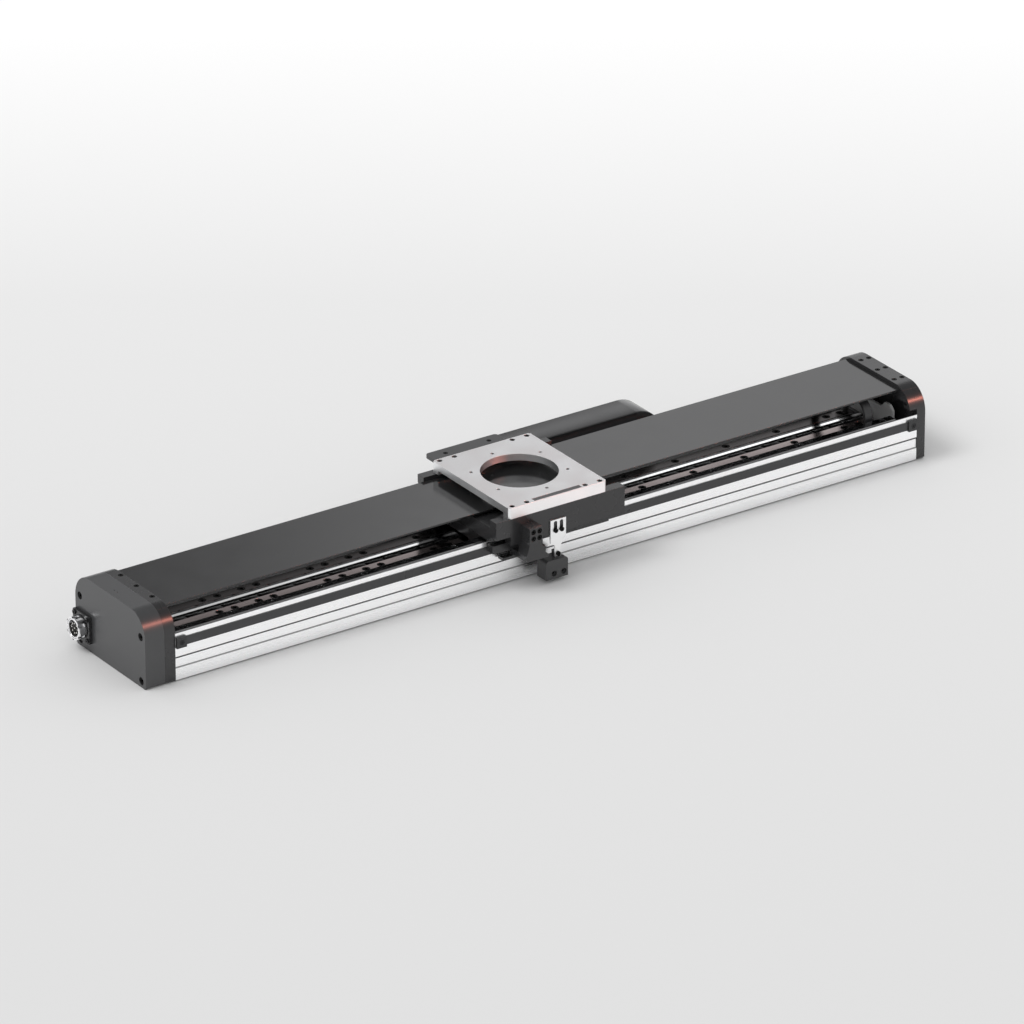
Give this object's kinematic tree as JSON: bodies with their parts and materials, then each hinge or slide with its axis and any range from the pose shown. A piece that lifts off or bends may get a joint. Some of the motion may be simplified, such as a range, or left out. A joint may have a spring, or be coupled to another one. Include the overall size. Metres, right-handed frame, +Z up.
{
  "type": "linear motor axis",
  "caption": "Linear motor axis: grooved aluminium base with rails, magnet track and flat cover; a carriage with a bored top plate slides along it, with a cable carrier behind",
  "frame": {"origin": "middle of the base's underside, where it stands on its bed", "axes": "+X along the axis away from the connector, +Y towards the cable carrier, +Z up"},
  "size_m": [1.0866, 0.227, 0.104],
  "materials": {
    "base_profile": "machined and clear anodised",
    "front_rail": "ground",
    "back_rail": "ground",
    "rail_screws": "black oxide",
    "magnet_plate_short": "nickel plated",
    "magnet_plates_middle": "nickel plated",
    "magnet_plate_long": "nickel plated",
    "magnets": "black epoxy coat",
    "keeper_strip": "polished",
    "track_screws": "black oxide",
    "left_end_plate": "black anodised, fine satin",
    "left_end_block": "black anodised, satin",
    "left_cover_clamp": "black anodised, satin",
    "right_end_plate": "black anodised, satin",
    "right_end_block": "black anodised, satin",
    "right_cover_clamp": "black anodised, satin",
    "cover_plate": "black, half gloss",
    "end_plate_screws": "black oxide",
    "cover_clamp_screws": "black oxide",
    "trough_end_sheet": "plain sheet",
    "stop_arch": "black anodised",
    "trough_screws": "black oxide",
    "buffers": "matt",
    "scale_strip": "satin black",
    "scale_clips": "black",
    "scale_clip_screws": "black oxide",
    "connector_flange": "black",
    "connector_screws": "plain",
    "connector_shell": "bright",
    "connector_ring": "bright",
    "connector_insert": "black",
    "connector_pins": "gold plated",
    "top_plate": "fine bead blast",
    "top_plate_screws": "black oxide",
    "nameplate": "bare dark strip",
    "carriage_frame": "black anodised",
    "front_bar": "black anodised",
    "rear_bar": "black anodised",
    "carriage_screws": "black oxide",
    "runner_front_left": "ground",
    "runner_front_right": "ground",
    "runner_back_left": "ground",
    "runner_back_right": "ground",
    "runner_end_caps": "black",
    "coil_unit": "cast resin",
    "readhead_bracket": "black anodised",
    "encoder_readhead": "black",
    "hall_module": "black",
    "sensor_bracket": "bright sheet",
    "limit_sensor": "black",
    "sensor_screws": "black oxide",
    "carrier_arm": "dark grey",
    "carrier_arm_screws": "black oxide",
    "carrier_moving_clamp": "black",
    "carrier_upper_strand": "black",
    "carrier_bend": "black",
    "carrier_lower_strand": "black",
    "carrier_tray": "black",
    "tray_screws": "black oxide",
    "carrier_fixed_clamp": "black"
  },
  "bodies": {
    "base": {"base_profile": "base_profile", "front_rail": "front_rail", "back_rail": "back_rail", "rail_screws": "rail_screws", "magnet_plate_short": "magnet_plate_short", "magnet_plates_middle": "magnet_plates_middle", "magnet_plate_long": "magnet_plate_long", "magnets": "magnets", "keeper_strip": "keeper_strip", "track_screws": "track_screws", "left_end_plate": "left_end_plate", "left_end_block": "left_end_block", "left_cover_clamp": "left_cover_clamp", "right_end_plate": "right_end_plate", "right_end_block": "right_end_block", "right_cover_clamp": "right_cover_clamp", "cover_plate": "cover_plate", "end_plate_screws": "end_plate_screws", "cover_clamp_screws": "cover_clamp_screws", "trough_end_sheet": "trough_end_sheet", "stop_arch": "stop_arch", "trough_screws": "trough_screws", "buffers": "buffers", "scale_strip": "scale_strip", "scale_clips": "scale_clips", "scale_clip_screws": "scale_clip_screws", "connector_flange": "connector_flange", "connector_screws": "connector_screws", "connector_shell": "connector_shell", "connector_ring": "connector_ring", "connector_insert": "connector_insert", "connector_pins": "connector_pins", "carrier_lower_strand": "carrier_lower_strand", "carrier_tray": "carrier_tray", "tray_screws": "tray_screws", "carrier_fixed_clamp": "carrier_fixed_clamp"},
    "carriage": {"top_plate": "top_plate", "top_plate_screws": "top_plate_screws", "nameplate": "nameplate", "carriage_frame": "carriage_frame", "front_bar": "front_bar", "rear_bar": "rear_bar", "carriage_screws": "carriage_screws", "runner_front_left": "runner_front_left", "runner_front_right": "runner_front_right", "runner_back_left": "runner_back_left", "runner_back_right": "runner_back_right", "runner_end_caps": "runner_end_caps", "coil_unit": "coil_unit", "encoder_readhead": "encoder_readhead", "readhead_bracket": "readhead_bracket", "hall_module": "hall_module", "sensor_bracket": "sensor_bracket", "limit_sensor": "limit_sensor", "sensor_screws": "sensor_screws", "carrier_arm": "carrier_arm", "carrier_arm_screws": "carrier_arm_screws", "carrier_moving_clamp": "carrier_moving_clamp", "carrier_upper_strand": "carrier_upper_strand"},
    "carrier_bend_body": {"carrier_bend": "carrier_bend"}
  },
  "joints": [
    {"name": "carriage_slide", "type": "slide", "parent": "base", "child": "carriage", "axis": [1, 0, 0], "range_m": [-0.4, 0.35], "deforming": ["carrier_upper_strand"]},
    {"name": "carrier_slide", "type": "slide", "parent": "base", "child": "carrier_bend_body", "axis": [1, 0, 0], "range_m": [-0.2, 0.175], "deforming": ["carrier_lower_strand"]}
  ],
  "couplings": [
    {"joint": "carrier_slide", "follows": "carriage_slide", "ratio": 0.5}
  ]
}
